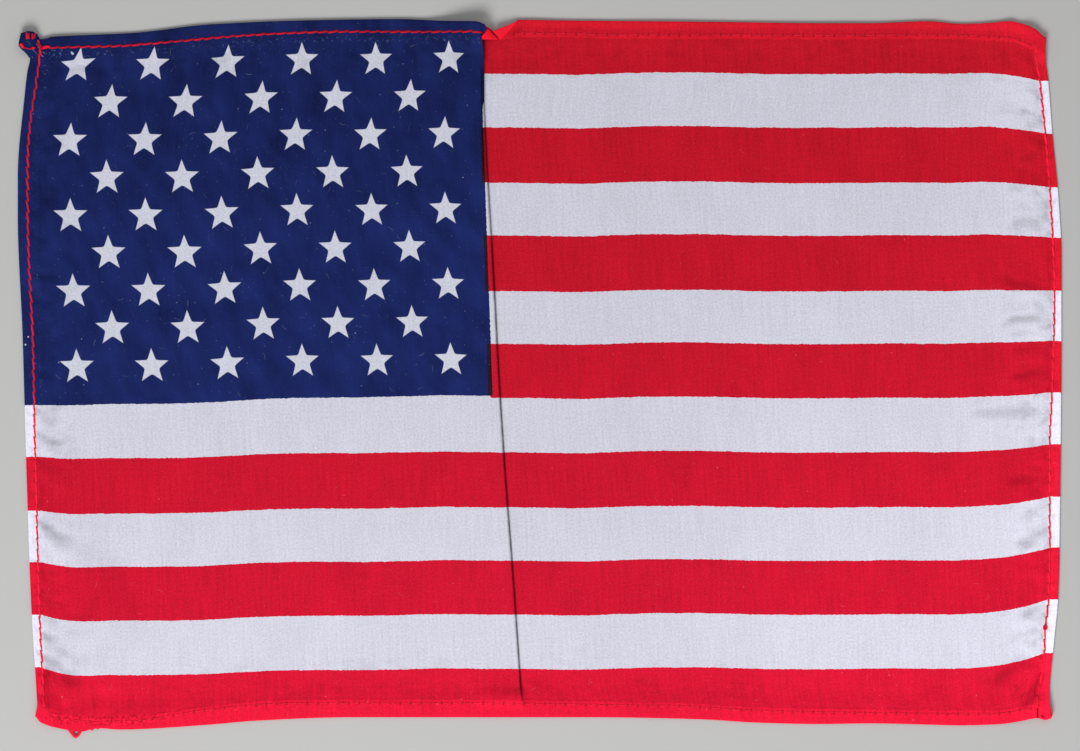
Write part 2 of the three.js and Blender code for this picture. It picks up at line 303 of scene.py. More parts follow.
def along_line(x, y, points):
    """Each place's distance from a line of points, and how far along the line it is, from 0 to 1."""
    points = np.array(points, float)
    steps = np.linalg.norm(np.diff(points, axis=0), axis=1)
    starts = np.concatenate([[0], np.cumsum(steps)])
    best = np.full(x.shape, 1e9)
    place = np.zeros(x.shape)
    for (ax, ay), (bx, by), step, start in zip(points[:-1], points[1:], steps, starts):
        t = ((x - ax) * (bx - ax) + (y - ay) * (by - ay)) / step ** 2
        held = np.clip(t, 0, 1)
        gap = np.hypot(x - ax - held * (bx - ax), y - ay - held * (by - ay))
        closer = gap < best
        best = np.where(closer, gap, best)
        place = np.where(closer, (start + held * step) / starts[-1], place)
    return best, place


def stroke(x, y, points, width, start, end):
    """1 along a line of points. It fades to either side, and at its start and end to those shares of it."""
    gap, place = along_line(x, y, points)
    return np.exp(-((gap / width) ** 2)) * eased(place, 0, start) * eased(place, 1, end)


def rough(x, y, size, seed):
    """Smooth unevenness between -1 and 1, of bumps about this size."""
    lattice = np.random.default_rng(seed).uniform(-1, 1, (LATTICE, LATTICE))
    u, v = x / size + LATTICE_START[0], y / size + LATTICE_START[1]
    i, j = np.floor(u).astype(int), np.floor(v).astype(int)
    s, t = eased(u - i, 0, 1), eased(v - j, 0, 1)
    corner = [lattice[(i + a) % LATTICE, (j + b) % LATTICE] for a, b in ((0, 0), (1, 0), (0, 1), (1, 1))]
    return (corner[0] * (1 - s) + corner[1] * s) * (1 - t) + (corner[2] * (1 - s) + corner[3] * s) * t


def small_puckers():
    """Short creases that start at the hoist and fly seams, between the listed ones."""
    choose = np.random.default_rng(5)
    made = []
    for seam, inward, count in ((hoist_seam, 1, 44), (fly_seam, -1, 60)):
        for y in np.linspace(-46, 46, count) + choose.uniform(-0.8, 0.8, count):
            length = choose.uniform(1.2, 4.2)
            angle = choose.uniform(-0.35, 0.35) - 0.25 * inward
            start = seam(y) + inward * choose.uniform(0.3, 1.6)
            ends = [(start, y), (start + inward * length * math.cos(angle), y + length * math.sin(angle))]
            made.append((ends, choose.uniform(0.28, 0.6), choose.uniform(-0.10, 0.16)))
    return made


def relief(x, y):
    """The cloth's height above the surface it lies on, and painted shade from how deep in a trough each place
    is and from the creases.
    """
    from_hoist = x - hoist_seam(y)
    from_fly = fly_seam(y) - x
    end = np.minimum(from_hoist, from_fly)
    # The cloth stands a little higher near the sewn ends
    height = 0.16 * eased(end, 10, 3) * eased(end, -0.3, 1.6)
    dark = np.zeros(x.shape)
    # The listed strokes waver by small amounts
    xw = x + 0.22 * rough(x, y, 2.7, 1) + 0.12 * rough(x, y, 1.1, 2)
    yw = y + 0.22 * rough(x, y, 2.4, 3) + 0.12 * rough(x, y, 1.1, 4)
    uneven = 1 + 0.45 * rough(x, y, 1.5, 6)
    for points, width, depth in TROUGHS:
        gap, place = along_line(xw, yw, points)
        fade = eased(place, 0, 0.12) * eased(place, 1, 0.6)
        spread = width * (1 + 0.6 * place)
        trough = np.exp(-((gap / spread) ** 2)) * fade
        banks = np.exp(-((gap / (2.4 * spread)) ** 2)) * fade
        height += depth * uneven * (0.62 * banks - trough)
        dark = np.maximum(dark, trough * depth / 0.3)
    for points, width, rise in RIDGES:
        height += rise * uneven * stroke(xw, yw, points, width, 0.25, 0.7)
    for points, width, depth in small_puckers():
        height -= depth * stroke(xw, yw, points, width, 0.15, 0.5)
    for points, width, shade in CREASES:
        dark += 4.0 * shade * stroke(xw, yw, points, width, 0.12, 0.75)
    for middle, width, top, foot, rise in SWELLS:
        across = np.exp(-(((x - middle + 0.04 * (top - y)) / width) ** 2))
        height += rise * across * eased(y, foot - 6, foot + 4) * eased(y, top + 5, top - 3)
    at_ends = eased(end, 9, 2) * eased(end, -0.5, 0.6) * np.where(from_hoist < from_fly, 0.45, 1.35)
    height += at_ends * (0.10 * rough(x, y, 2.1, 7) + 0.05 * rough(x, y, 1.05, 8))
    # The stitches gather the cloth into small waves beside them
    wave = np.cos(2 * math.pi * (y + 0.5 * np.sin(y / 3.1) + 0.6 * from_hoist) / (2 * UPRIGHT_STITCH))
    height += 0.05 * wave * uneven * eased(end, -0.2, 0.4) * np.exp(-np.maximum(end, 0) / 1.3)
    wave = np.cos(2 * math.pi * (x + 0.6 * np.sin(x / 4.3)) / (2 * LEVEL_STITCH))
    for gap in (top_seam(x) - y, y - bottom_seam(x)):
        height += 0.03 * wave * uneven * eased(gap, -0.2, 0.5) * np.exp(-np.maximum(gap, 0) / 1.2)
    height += 0.05 * (1 + rough(x, y, 11.0, 9)) + 0.02 * rough(x, 0.5 * y, 4.2, 10)
    (knob_x, knob_y), (half_x, half_y) = KNOB["middle"], KNOB["half"]
    knob = np.hypot((x - knob_x) / half_x, (y - knob_y) / half_y)
    height += KNOB["height"] * np.sqrt(np.clip(1 - knob ** 2, 0, 1))
    return np.maximum(height, 0), dark


# The grid of the cloth: columns across it and rows up it, each with its hem turned under

HOIST_PANEL = 62  # nominal widths of the panels either side of the tuck
FLY_PANEL = 77
FINEST = 0.45
COARSER = 0.09  # how much wider the columns get for each millimetre into a panel
ROW_GAP = 0.46
GRID_ROUNDS = 7

# A line of the grid: its panel, where it is along the other direction, its own height, its length past a
# fold, the way it faces, and how high the hem is there
Line = namedtuple("Line", "panel at height path facing stack")


def hem_stations(width):
    """Stations from the raw edge, hidden inside the hem, to where the cloth lies on the surface: how far in
    from the fold each is, its height, how far past the fold along the cloth, and which way it faces."""
    half = PLY / 2
    flat = width - PLY
    stations = [(width - RAW_EDGE, PLY, 2 * width - RAW_EDGE, 1)]
    for turn in (90, 30, -30, -90):
        a = math.radians(turn)
        path = width + half * (a + math.pi / 2)
        stations.append((width - half + half * math.cos(a), half + half * math.sin(a), path, math.sin(a)))
    for share in (0.75, 0.5, 0.25):
        stations.append((PLY + share * flat, 0, PLY + share * flat, -1))
    for turn in range(0, 181, 30):
        a = math.radians(turn)
        path = max(0, PLY * (math.pi / 2 - a))
        stations.append((PLY - PLY * math.sin(a), PLY - PLY * math.cos(a), path, -math.cos(a)))
    for k in range(1, HEM_STEPS + 1):
        stations.append((PLY + flat * k / HEM_STEPS, 2 * PLY, 0, 1))
    for share in (0.25, 0.5, 0.75, 1):
        stations.append((width + share * HEM_EASE, 2 * PLY * (1 - eased(share, 0, 1)), 0, 1))
    return stations


def hem_lines(name, edge, inward):
    """One hem's lines, in the order of the grid. Inward is 1 or -1, the way from its edge to the middle."""
    def at(inset, place):
        return edge(place) + inward * inset

    width = HEMS[name]
    made = []
    for inset, height, path, facing in hem_stations(width):
        stack = 2 * PLY * (1 - eased(inset, width, width + HEM_EASE))
        made.append(Line(name, partial(at, inset), height, -inward * path, facing, stack))
    return made[::inward]


def lines_between(panel, start, end, shares):
    """Lines at shares of the way from one line to another."""
    def at(share, place):
        return start.at(place) + share * (end.at(place) - start.at(place))

    return [Line(panel, partial(at, share), 0, 0, 1, 0) for share in shares]


def tuck_section(y):
    """The tuck's section at each height y: places, heights and lengths along the cloth, from the ply on top
    to the one that lies lowest, and how high the upper ply is."""
    turn = np.maximum(TUCK_FLATTEST, math.pi * eased(y, TUCK_ENDS, TUCK_OPENS))
    share = np.clip((y - TUCK_OPENS) / (TUCK_TOP - TUCK_OPENS), 0, 1)
    pitch = TUCK_PITCH * (0.5 + 0.5 * share)
    radius = pitch / 2 * (math.pi / turn) ** 0.6
    hidden = np.maximum(TUCK_LEAST, TUCK_DEPTH * share)
    reach = np.sin(np.minimum(turn, math.pi / 2))
    x0 = crease_line(y) - (radius + THICKNESS / 2) * reach
    drop = 2 * radius * (1 - np.cos(turn)) + hidden * np.sin(turn)
    xs, zs, lengths = [], [], []
    for k in range(TUCK_STEPS + 1):
        a = turn * k / TUCK_STEPS
        xs.append(x0 + radius * np.sin(a))
        zs.append(drop - radius * (1 - np.cos(a)))
        lengths.append(radius * a)
    x1 = xs[-1] + hidden * np.cos(turn)
    z1 = zs[-1] - hidden * np.sin(turn)
    reached = lengths[-1] + hidden
    for k in range(TUCK_STEPS, -1, -1):
        a = turn * k / TUCK_STEPS
        xs.append(x1 + radius * (np.sin(turn) - np.sin(a)))
        zs.append(z1 - radius * (np.cos(a) - np.cos(turn)))
        lengths.append(reached + radius * (turn - a))
    return xs, zs, lengths, drop


def spaced(end, first, widest, last):
    """Shares of the way to the end, close together at both ends and widest in the middle."""
    places = [0]
    while places[-1] < end:
        left = end - places[-1]
        places.append(places[-1] + min(widest, first + COARSER * places[-1], last + COARSER * left))
    return (np.array(places) * end / places[-1])[1:-1] / end


def columns():
    def at(k, y):
        return tuck_section(y)[0][k]

    hoist = hem_lines("hoist", hoist_edge, 1)
    fly = hem_lines("fly", fly_edge, -1)
    tuck = [Line("tuck", partial(at, k), 0, 0, 1, 0) for k in range(2 * TUCK_STEPS + 2)]
    hoist_side = lines_between("hoist", hoist[-1], tuck[0], spaced(HOIST_PANEL, FINEST, 1.7, 0.6))
    fly_side = lines_between("fly", tuck[-1], fly[0], spaced(FLY_PANEL, 0.5, 1.8, FINEST))
    return hoist + hoist_side + tuck + fly_side + fly


def rows():
    bottom = hem_lines("bottom", bottom_edge, 1)
    top = hem_lines("top", top_edge, -1)
    count = int((top_edge(0) - bottom_edge(0)) / ROW_GAP)
    return bottom + lines_between("face", bottom[-1], top[0], [k / count for k in range(1, count)]) + top


def cloth_grid():
    """The cloth's middle surface and what the print needs to know at each of its points."""
    cols, lines = columns(), rows()
    shape = (len(cols), len(lines))
    y = np.tile(np.array([line.at(0.0) for line in lines], float), (shape[0], 1))
    x = np.zeros(shape)
    for _ in range(GRID_ROUNDS):
        for i, column in enumerate(cols):
            x[i] = column.at(y[i])
        for j, line in enumerate(lines):
            y[:, j] = line.at(x[:, j])
    for i, column in enumerate(cols):
        x[i] = column.at(y[i])
    # Where the print is read: a ply turned under has the print of its fold, and more past it
    turned_x = np.array([c.path for c in cols])[:, None]
    turned_y = np.array([line.path for line in lines])[None, :]
    xs = np.where(turned_x < 0, hoist_edge(y), np.where(turned_x > 0, fly_edge(y), x))
    ys = np.where(turned_y < 0, bottom_edge(x), np.where(turned_y > 0, top_edge(x), y))
    level = printed_height(xs, ys) + turned_y
    place = printed_place(xs, ys) + turned_x
    # The column's own section, hems and tuck
    z = np.array([c.height for c in cols])[:, None] * np.ones(shape)
    stack = np.array([c.stack for c in cols])[:, None] * np.ones(shape)
    tuck = [i for i, c in enumerate(cols) if c.panel == "tuck"]
    before, after = slice(0, tuck[0]), slice(tuck[-1] + 1, None)
    for k, i in enumerate(tuck):
        folds, heights, lengths, drop = tuck_section(y[i])
        z[i], stack[i] = heights[k], drop
        place[i] = printed_place(folds[0], y[i]) + lengths[k]
    place[after] = x[after] + (place[tuck[-1]] - x[tuck[-1]]) + turned_x[after]
    folds, _, _, drop = tuck_section(y[before])
    climb = drop * eased(folds[0] - x[before], TUCK_RAMP, 0)
    z[before] += climb
    stack[before] = np.maximum(stack[before], climb)
    # The row's section wraps the column's
    facing = np.array([line.facing for line in lines])[None, :]
    plies = np.array([line.height for line in lines])[None, :] / PLY
    z = plies * (stack + PLY) + stack / 2 + facing * (z - stack / 2)
    # The hems stand on their thread, and the relief is the same for every ply
    seam, run, beside, clear = seam_place(x, y)
    height, dark = relief(x, y)
    z = z + THICKNESS / 2 + OFF_FLOOR + THREAD_LIFT * eased(seam, THREAD_EASE, 0.3) + height
    facts = {"place": place, "level": level, "seam": seam, "run": run, "dark": dark}
    facts |= {"fold": x - crease_line(y), "clear": clear, "beside": beside}
    return np.stack([x, y, z], -1), facts


def seam_place(x, y):
    """Distance in from the nearest line of sewing, less than 0 in the hem, how many stitches along that line,
    which line it is (1 for the top, -1 for the bottom, 0 for the hoist and the fly), and 1 where it is clear
    of the corners."""
    gaps = np.stack([x - hoist_seam(y), fly_seam(y) - x, y - bottom_seam(x), top_seam(x) - y])
    nearest = gaps.argmin(0)
    run = np.where(nearest < 2, y / UPRIGHT_STITCH, x / LEVEL_STITCH)
    beside = np.where(nearest < 2, 0, np.where(nearest == 2, -1, 1))
    ordered = np.sort(gaps, axis=0)
    return ordered[0], run, beside, eased(ordered[1] - ordered[0], 0.4, 1.0)


def shell(points, thickness):
    """The two skins of a grid of points, and the faces that close them: the printed side, the back, and the
    rim that joins them."""
    normal = np.cross(np.gradient(points, axis=0), np.gradient(points, axis=1))
    normal /= np.maximum(np.linalg.norm(normal, axis=-1, keepdims=True), 1e-9)
    half = thickness / 2
    both = np.concatenate([(points + half * normal).reshape(-1, 3), (points - half * normal).reshape(-1, 3)])
    index = np.arange(len(both) // 2).reshape(points.shape[:2])
    front = np.stack([index[:-1, :-1], index[1:, :-1], index[1:, 1:], index[:-1, 1:]], -1).reshape(-1, 4)
    back = front[:, ::-1] + index.size
    rim = np.concatenate([index[:, 0], index[-1, 1:], index[-2::-1, -1], index[0, -2:0:-1]])
    ahead = np.roll(rim, -1)
    sides = np.stack([rim + index.size, ahead + index.size, ahead, rim], -1)
    return both, np.concatenate([front, back, sides])


def make_object(name, points, faces, attributes, material, smooth=True):
    mesh = bpy.data.meshes.new(name)
    mesh.from_pydata((points * MM).tolist(), [], faces)
    for key, values in attributes.items():
        made = mesh.attributes.new(key, "FLOAT_VECTOR", "POINT")
        made.data.foreach_set("vector", np.ascontiguousarray(values, np.float32).ravel())
    mesh.materials.append(material)
    if smooth:
        mesh.shade_smooth()
    mesh.update()
    piece = bpy.data.objects.new(name, mesh)
    bpy.context.scene.collection.objects.link(piece)
    return piece


# Materials

def joined(operation):
    """A method that joins two values with a math node."""
    return lambda self, other: self.graph.math(operation, self, other)


class Field:
    """What a node's socket gives at each place on a surface, so that a material reads as arithmetic."""

    def __init__(self, graph, socket):
        self.graph = graph
        self.socket = socket

    __add__ = __radd__ = joined("ADD")
    __mul__ = __rmul__ = joined("MULTIPLY")
    __sub__ = joined("SUBTRACT")
    __truediv__ = joined("DIVIDE")
    __mod__ = joined("MODULO")
    __lt__ = joined("LESS_THAN")
    __gt__ = joined("GREATER_THAN")

    def __rsub__(self, other):
        return self.graph.math("SUBTRACT", other, self)


class Graph:
    """A material's nodes."""

    def __init__(self, name):
        self.material = bpy.data.materials.new(name)
        self.material.use_nodes = True
        self.nodes = self.material.node_tree.nodes
        self.links = self.material.node_tree.links
        self.nodes.clear()

    def add(self, kind, inputs, **settings):
        node = self.nodes.new(kind)
        for key, value in settings.items():
            setattr(node, key, value)
        for key, value in inputs.items():
            if isinstance(value, Field):
                self.links.new(value.socket, node.inputs[key])
            else:
                node.inputs[key].default_value = value
        return node

    def read(self, output, kind, inputs, **settings):
        return Field(self, self.add(kind, inputs, **settings).outputs[output])

    def math(self, operation, *values):
        return self.read(0, "ShaderNodeMath", dict(enumerate(values)), operation=operation)

    def most(self, *values):
        top = values[0]
        for value in values[1:]:
            top = self.math("MAXIMUM", top, value)
        return top

    def length(self, across, up):
        return self.math("SQRT", across * across + up * up)

    def ramp(self, value, zero, one, low=0.0, high=1.0):
        """low where value is zero, high where it is one, smooth between."""
        inputs = {"Value": value, "From Min": zero, "From Max": one, "To Min": low, "To Max": high}
        return self.read("Result", "ShaderNodeMapRange", inputs, interpolation_type="SMOOTHSTEP")

    def band(self, value, outer, inner):
        """1 where value is nearer 0 than inner, and 0 where it is beyond outer."""
        return self.ramp(self.math("ABSOLUTE", value), outer, inner)

    def mix(self, factor, first, second):
        return self.read(2, "ShaderNodeMix", {0: factor, 6: first, 7: second}, data_type="RGBA")

    def scaled(self, colour, factor):
        colour = colour if isinstance(colour, Field) else colour[:3]
        return self.read(0, "ShaderNodeVectorMath", {0: colour, "Scale": factor}, operation="SCALE")

    def vector(self, x, y, z=0.0):
        return self.read(0, "ShaderNodeCombineXYZ", {"X": x, "Y": y, "Z": z})

    def parts(self, vector):
        """A vector's x, y and z."""
        return [Field(self, part) for part in self.add("ShaderNodeSeparateXYZ", {0: vector}).outputs]

    def facts(self, name):
        """The three numbers that each point of the mesh has under a name."""
        return self.parts(self.read("Vector", "ShaderNodeAttribute", {}, attribute_name=name))

    def noise(self, vector, scale, detail=2.0, roughness=0.5):
        inputs = {"Vector": vector, "Scale": scale, "Detail": detail, "Roughness": roughness}
        return self.read("Fac", "ShaderNodeTexNoise", inputs, noise_dimensions="3D")

    def centred(self, vector, scale, amount, detail=2.0):
        """Noise about 0, of the given amount."""
        return (self.noise(vector, scale, detail) - 0.5) * (2 * amount)

    def finish(self, colour, height, roughness, gloss, depth=0.0):
        inputs = {"Base Color": colour, "Roughness": roughness, "Specular IOR Level": gloss}
        if depth:
            bump = {"Height": height, "Strength": 1.0, "Distance": depth * MM}
            inputs["Normal"] = self.read(0, "ShaderNodeBump", bump)
        self.add("ShaderNodeOutputMaterial", {0: self.read(0, "ShaderNodeBsdfPrincipled", inputs)})
        return self.material


def linear(red, green, blue):
    """An sRGB colour, as the shaders take it."""
    values = [v / 255 for v in (red, green, blue)]
    return (*[v / 12.92 if v <= 0.04045 else ((v + 0.055) / 1.055) ** 2.4 for v in values], 1)


WHITE = linear(214, 213, 227)
RED_TOP = linear(199, 21, 40)
RED_FOOT = linear(211, 20, 50)
BLUE = linear(27, 39, 97)
DOUBLE_PRINT = linear(38, 24, 38)
STARS = linear(210, 213, 225)
RUBBED = linear(128, 150, 196)
LINT = linear(205, 214, 232)
LINT_ON_RED = linear(255, 128, 146)
THREAD_RED = linear(248, 32, 62)
FLOOR = linear(196, 196, 194)
BACK_PALER = 0.22
# How rough and how glossy each surface is, and the depth of its finest relief
CLOTH_FINISH = {"roughness": 0.72, "gloss": 0.04, "depth": 0.045}
THREAD_FINISH = {"roughness": 0.6, "gloss": 0.12, "depth": 0.02}
FLOOR_FINISH = {"roughness": 0.9, "gloss": 0.1}

HOIST_PINCH = {"at": (-73.5, -40.6), "middle": -1.37, "spread": 0.36, "start": 2.0, "end": 9.5}
FLY_PINCH = {"at": (74.2, -41.2), "middle": -2.05, "spread": 0.42, "start": 3.0, "end": 9.5}
RUBBED_CORNER = (-72.0, 47.2)
RUBBED_NARROWED = 0.42  # the rubbed patch is longer along the fly than it is high
SPLIT = (72.95, -48.6)
WHITE_BITS = [(-68.57, 47.15, 0.23), (-68.72, 47.32, 0.18), (-75.1, 5.6, 0.15), (-75.5, 4.45, 0.17)]
PITS = [(73.62, -50.0, 0.22), (73.8, -50.15, 0.2), (73.1, -47.45, 0.14), (73.15, -48.4, 0.12)]


def star_mask(g, place, level):
    """1 on the fifty stars: nine rows, of six and of five by turns."""
    row = g.math("ROUND", (STAR["top"] - level) / STAR["row"])
    row = g.most(g.math("MINIMUM", row, 8), 0)
    up = level - STAR["top"] + row * STAR["row"]
    odd = row % 2
    from_first = place - STAR["left"] - odd * STAR["shift"]
    column = g.math("ROUND", from_first / STAR["pitch"])
    column = g.most(g.math("MINIMUM", column, 5 - odd), 0)
    side = (from_first - column * STAR["pitch"]) * STAR_NARROWED
    radius = g.length(side, up) * (1 + (place - STAR_MIDDLE) * STAR_SHRINKS)
    angle = g.math("PINGPONG", g.math("ARCTAN2", side, up), math.pi / 5)
    out = radius * g.math("COSINE", angle) * math.sin(STAR_TIP)
    off = radius * g.math("SINE", angle) * math.cos(STAR_TIP)
    beyond = out + off - STAR_RADIUS * math.sin(STAR_TIP)
    return g.ramp(g.math("SMOOTH_MIN", beyond, radius - STAR_CORE, 0.3), 0.07, -0.04)


def cells(g, at, scale, share):
    """Scattered cells: their node, 1 in a share of them, and two numbers of each cell's own."""
    node = g.add("ShaderNodeTexVoronoi", {"Vector": at, "Scale": scale}, voronoi_dimensions="2D")
    parts = g.add("ShaderNodeSeparateColor", {0: Field(g, node.outputs["Color"])})
    first, second, third = [Field(g, part) for part in parts.outputs]
    return node, first > 1 - share, second, third


def specks(g, at, scale, size, share):
    """Lint: small dots of uneven strength, one to a cell in a share of the cells."""
    node, kept, strength, _ = cells(g, at, scale, share)
    return g.ramp(Field(g, node.outputs["Distance"]), size * scale, 0.3 * size * scale) * kept * strength


def fibres(g, at, scale, length, share):
    """Lint: short bent hairs, each turned its own way."""
    node, kept, turn, own = cells(g, at, scale, share)
    middle = Field(g, node.outputs["Position"])
    offset = g.read(0, "ShaderNodeVectorMath", {0: at, 1: middle}, operation="SUBTRACT")
    inputs = {"Vector": offset, "Angle": turn * (2 * math.pi)}
    x, y, _ = g.parts(g.read(0, "ShaderNodeVectorRotate", inputs, rotation_type="Z_AXIS"))
    bend = x * x * (own - 0.5) * 1.6
    hair = g.band(y + bend, 0.055, 0.012) * g.band(x, length / 2, length / 4)
    return hair * kept * (0.3 + own * 0.7)


def dots(g, x, y, places):
    """1 on each small dot of a list of places and sizes."""
    return g.most(0.0, *[g.ramp(g.length(x - px, y - py), size, 0.5 * size) for px, py, size in places])


def wrinkles(g, x, y, pinch):
    """1 along the fine wrinkles that spread from a pinched place."""
    right, up = x - pinch["at"][0], y - pinch["at"][1]
    angle = g.math("ARCTAN2", up, right)
    radius = g.length(right, up)
    streaks = g.noise(g.vector(angle * 22.0, radius * 0.30, pinch["at"][0]), 1.3, 1.0)
    within = g.band(angle - pinch["middle"], pinch["spread"], 0.5 * pinch["spread"])
    start, end = pinch["start"], pinch["end"]
    reached = g.ramp(radius, start, start + 1) * g.ramp(radius, end, end - 4)
    return g.ramp(streaks, 0.50, 0.66) * within * reached


def printed_cloth():
    g = Graph("printed cloth")
    place, level, side = g.facts("print")
    seam, run, dark = g.facts("sewn")
    fold, clear, beside_seam = g.facts("folded")
    at = g.vector(place, level)
    x, y, _ = g.parts(g.scaled(g.read("Object", "ShaderNodeTexCoord", {}), 1 / MM))

    # The printed edges wander by a thread or two
    ragged_level = level + g.centred(at, 2.4, 0.13) + g.centred(at, 0.5, 0.10)
    ragged_place = place + g.centred(g.vector(level, place), 2.4, 0.12)
    red_stripe = sum(ragged_level < line for line in STRIPE_LINES) % 2 < 0.5
    into_red = ragged_place + (OVERPRINT - CANTON_EDGE) - level * OVERPRINT_TAPER
    under_canton = ragged_level < STRIPE_LINES[6]
    chamfered = into_red + ragged_level - STRIPE_LINES[6] > CHAMFER
    red = red_stripe * g.most((into_red > 0.0) * chamfered, under_canton)
    foot = (place + 10.0) * FOOT_TILT + CANTON_FOOT
    blue = (ragged_place < CANTON_EDGE) * (ragged_level > foot)
    stars = star_mask(g, place, level)

    # Each ink with its own unevenness: threads that took less, and cloudy fading
    streaks = g.centred(g.vector(place * 2.8, level * 0.16), 1.0, 1.0, 3.0)
    across = g.centred(g.vector(place * 0.16, level * 2.6), 1.0, 1.0)
    clouds = g.centred(g.vector(place, level * 0.6), 0.16, 1.0, 3.0)
    blotches = g.centred(g.vector(place + level * 0.35, level * 0.55, 7.0), 0.30, 1.0)
    fine = g.centred(at, 3.4, 1.0)
    shade_white = 1 + streaks * 0.11 + across * 0.04 + clouds * 0.06 + fine * 0.24
    shade_red = 1 + streaks * 0.22 + across * 0.08 + clouds * 0.14 + fine * 0.32
    darker_top = g.ramp(level, 18.0, 37.0, 0.0, -0.155)
    shade_blue = 1 + streaks * 0.16 + blotches * 0.55 + fine * 0.24 + darker_top
    # Painted light: the colours are brighter towards the fly and the foot
    kept = g.ramp(place, 12.0, 46.0) * g.ramp(level, 36.0, -25.0, 0.03, 0.11)
    kept = kept + g.ramp(place, 54.0, 66.0, 0.0, 0.05) + g.ramp(place, 66.0, 74.0, 0.0, 0.06)
    kept = kept + g.ramp(level, -15.0, -34.0, 0.0, 0.03)
    # More cloth in the hems makes them paler. Past the top and bottom seams the red's paleness is a painted
    # highlight
    top = g.ramp(beside_seam, 0.3, 0.7)
    bottom = g.ramp(beside_seam, -0.3, -0.7)
    inside = seam + g.centred(at, 0.45, 0.25) + g.centred(at, 1.6, 0.2)
    reach = 0.55 + top * 0.30 - bottom * 0.05
    in_red_hem = g.ramp(inside, reach, -0.1 + top * 0.45 + bottom * 0.35)
    in_white_hem = g.ramp(seam, 0.35, -0.15)
    broken = g.ramp(g.noise(g.vector(place, 3.0), 0.7), 0.3, 0.6)
    # The furrows that the sewing makes along the top and the bottom get painted shade
    top_furrow_shade = top * g.ramp(seam, -1.4, -0.4) * g.ramp(inside, 0.38, 0.08) * -0.24
    bottom_furrow_shade = bottom * g.band(seam, 0.26, 0.06) * (broken * -0.16 - 0.04)
    # Painted shadow below the inner fold of the bottom hem
    hem_edge_shadow = bottom * g.band(inside - 0.66, 0.26, 0.06) * broken * -0.12
    at_fly = g.ramp(place, 60.0, 70.0, 0.0, 0.10)
    # Painted highlight on the white beside the hoist seam
    hoist_seam_highlight = g.ramp(seam, 1.6, 0.1) * g.ramp(place, -60.0, -70.0) * 0.09
    white_gain = 1 + kept + hoist_seam_highlight + in_white_hem * (at_fly * 1.5 + 0.18)
    ends = at_fly + top * 0.17 - bottom * 0.02
    last_stripe = g.ramp(level, -38.0, -44.0, 0.0, 0.13)
    red_gain = 1 + kept + in_red_hem * (ends + 0.22) + last_stripe + (top_furrow_shade + bottom_furrow_shade + hem_edge_shadow)
    red_ink = g.mix(g.ramp(level, 46.0, -50.0), RED_TOP, RED_FOOT)
    colour = g.mix(red, g.scaled(WHITE, shade_white * white_gain), g.scaled(red_ink, shade_red * red_gain))
    colour = g.mix(blue, colour, g.scaled(BLUE, shade_blue))
    colour = g.mix(red * blue, colour, g.scaled(DOUBLE_PRINT, shade_blue))
    colour = g.mix(stars * blue, colour, g.scaled(STARS, shade_white))
    # Single threads of the red stripes took less ink
    bare = g.ramp(g.noise(g.vector(place * 1.6, level), 4.4), 0.52, 0.80, 0.0, 0.05)
    colour = g.mix(red * bare, colour, LINT_ON_RED)

    # Wear: the ink rubbed off in the upper hoist corner, and lint over the whole face
    corner_x, corner_y = RUBBED_CORNER
    from_corner = g.length(x * RUBBED_NARROWED - corner_x * RUBBED_NARROWED, y - corner_y)
    strip = g.band(seam - 1.1, 0.7, 0.2) * g.ramp(y, 39.0, 43.0, 0.12, 0.45)
    worn = g.most(g.ramp(from_corner, 1.9, 0.5), strip)
    rubbed = g.ramp(seam, 0.25, 0.5) * g.ramp(g.noise(at, 2.0, 4.0, 0.65), 0.54, 0.70) * worn
    colour = g.mix(rubbed * blue * (1 - stars) * 0.60, colour, RUBBED)
    turned = g.vector(place * 0.8 + level * 0.6, level * 0.8 - place * 0.6)
    lower = g.ramp(level, 10.0, -45.0, 0.6, 1.0)
    gathers = g.ramp(g.noise(at, 0.13), 0.40, 0.66, 0.25, 1.0)
    large = specks(g, at, 0.30, 0.13, 0.35) * 0.85
    small = specks(g, turned, 0.95, 0.08, 0.30) * 0.50
    hairs = fibres(g, turned, 0.27, 1.2, 0.36) * 0.36
    lint_colour = g.mix(red * (1 - blue), LINT, LINT_ON_RED)
    colour = g.mix(g.most(large, small, hairs) * lower * gathers * 0.9, colour, lint_colour)
    colour = g.mix(dots(g, x, y, WHITE_BITS) * 0.85, colour, LINT)
    # Grey blotches darken the cloth near the sewn ends
    cloudy = g.ramp(g.noise(g.vector(place, level * 1.5, 3.0), 0.42, 3.0), 0.46, 0.74)
    blotched_near_seams = g.ramp(seam, 9.0, 1.5) * cloudy * g.ramp(seam, 0.0, 0.6) * (1 - red * 0.5)

    # Painted shadow along the tuck's crease, where the fold's edge stands over the ply below
    line = (fold + 0.07) / 0.17
    line = g.math("EXPONENT", line * line * -1.0)
    fold_shade_reach = g.ramp(y, 42.5, 36.0) * g.ramp(y, 24.0, 15.0, 0.75, 1.0) * g.ramp(y, -48.0, -46.0)
    painted_fold_shade = line * fold_shade_reach * g.ramp(g.noise(at, 0.8), 0.25, 0.6, 0.58, 0.80)
    # Near the top the fold rolls over more steeply: painted shade on its rim, and beside it on the ply below
    rim = g.ramp(fold, -0.62, -0.45) * g.ramp(fold, 0.02, -0.06)
    steep = g.ramp(level, 34.5, 40.5, 0.0, 0.6) * g.ramp(level, 46.5, 44.0)
    steep_red = red * g.ramp(level, 27.0, 29.5) * g.ramp(level, 38.5, 37.0) * 0.62
    lee = g.ramp(fold, 1.0, 0.0) * (fold > 0.0) * g.ramp(level, 45.5, 47.5) * 0.5
    painted_fold_shade = g.most(painted_fold_shade, rim * (steep + steep_red), lee)

